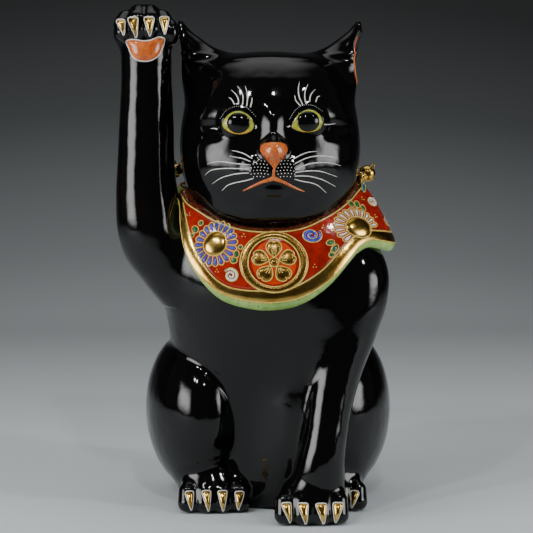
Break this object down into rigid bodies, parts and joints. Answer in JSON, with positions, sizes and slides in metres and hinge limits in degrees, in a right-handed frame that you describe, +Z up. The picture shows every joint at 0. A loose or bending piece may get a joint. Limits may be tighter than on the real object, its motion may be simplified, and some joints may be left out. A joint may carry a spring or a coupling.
{
  "type": "beckoning cat figurine",
  "caption": "Seated porcelain cat figurine in black glaze with its right foreleg raised, and an enamelled bib with bells at the neck.",
  "frame": {"origin": "middle of the flat base, in the plane the figurine stands on, on the cat's own mid-plane", "axes": "+Z up; the cat faces -Y; +X is the cat's left, so the raised right foreleg is at -X"},
  "size_m": [0.2047, 0.189, 0.3635],
  "materials": {
    "black_glaze": "gloss black glaze over white porcelain",
    "green_glaze": "gloss pale green overglaze enamel",
    "red_enamel": "gloss iron-red overglaze enamel",
    "crimson_glaze": "gloss dark red overglaze enamel with gilt",
    "vermilion_enamel": "gloss vermilion overglaze enamel",
    "orange_enamel": "satin orange overglaze enamel",
    "eye_enamel": "gloss yellow-green overglaze enamel",
    "blue_enamel": "gloss raised blue enamel",
    "white_enamel": "gloss raised white enamel",
    "turquoise_enamel": "gloss raised turquoise enamel",
    "gilt": "burnished gold lustre fired on porcelain"
  },
  "bodies": {
    "root": {"bib_border": "gilt", "bib_field": "red_enamel", "bib_slab": "green_glaze", "coil_blue": "blue_enamel", "coil_white_high": "white_enamel", "coil_white_low": "white_enamel", "collar_band": "crimson_glaze", "head_shell": "black_glaze", "left_bell": "gilt", "left_ear": "black_glaze", "left_ear_lining": "orange_enamel", "left_eye": "eye_enamel", "left_haunch": "black_glaze", "left_hind_claw_4": "gilt", "left_hind_foot": "black_glaze", "left_knot": "gilt", "left_pupil": "black_glaze", "left_ribbon": "turquoise_enamel", "medallion_blossom": "gilt", "medallion_ground": "vermilion_enamel", "medallion_ring": "gilt", "mouth_line": "orange_enamel", "nose": "orange_enamel", "raised_claw_1": "gilt", "raised_claw_2": "gilt", "raised_claw_3": "gilt", "raised_claw_4": "gilt", "raised_foreleg": "black_glaze", "raised_paw": "black_glaze", "raised_paw_pad": "orange_enamel", "right_bell": "gilt", "right_ear": "black_glaze", "right_ear_lining": "orange_enamel", "right_eye": "eye_enamel", "right_haunch": "black_glaze", "right_hind_claw_1": "gilt", "right_hind_claw_2": "gilt", "right_hind_claw_3": "gilt", "right_hind_claw_4": "gilt", "right_hind_foot": "black_glaze", "right_knot": "gilt", "right_pupil": "black_glaze", "right_ribbon": "turquoise_enamel", "rosette_disc_left": "gilt", "rosette_disc_right": "gilt", "rosette_petals_left": "white_enamel", "rosette_petals_right": "blue_enamel", "standing_claw_1": "gilt", "standing_claw_2": "gilt", "standing_claw_3": "gilt", "standing_claw_4": "gilt", "standing_foreleg": "black_glaze", "standing_paw": "black_glaze", "tail": "black_glaze", "torso_shell": "black_glaze"}
  },
  "joints": []
}
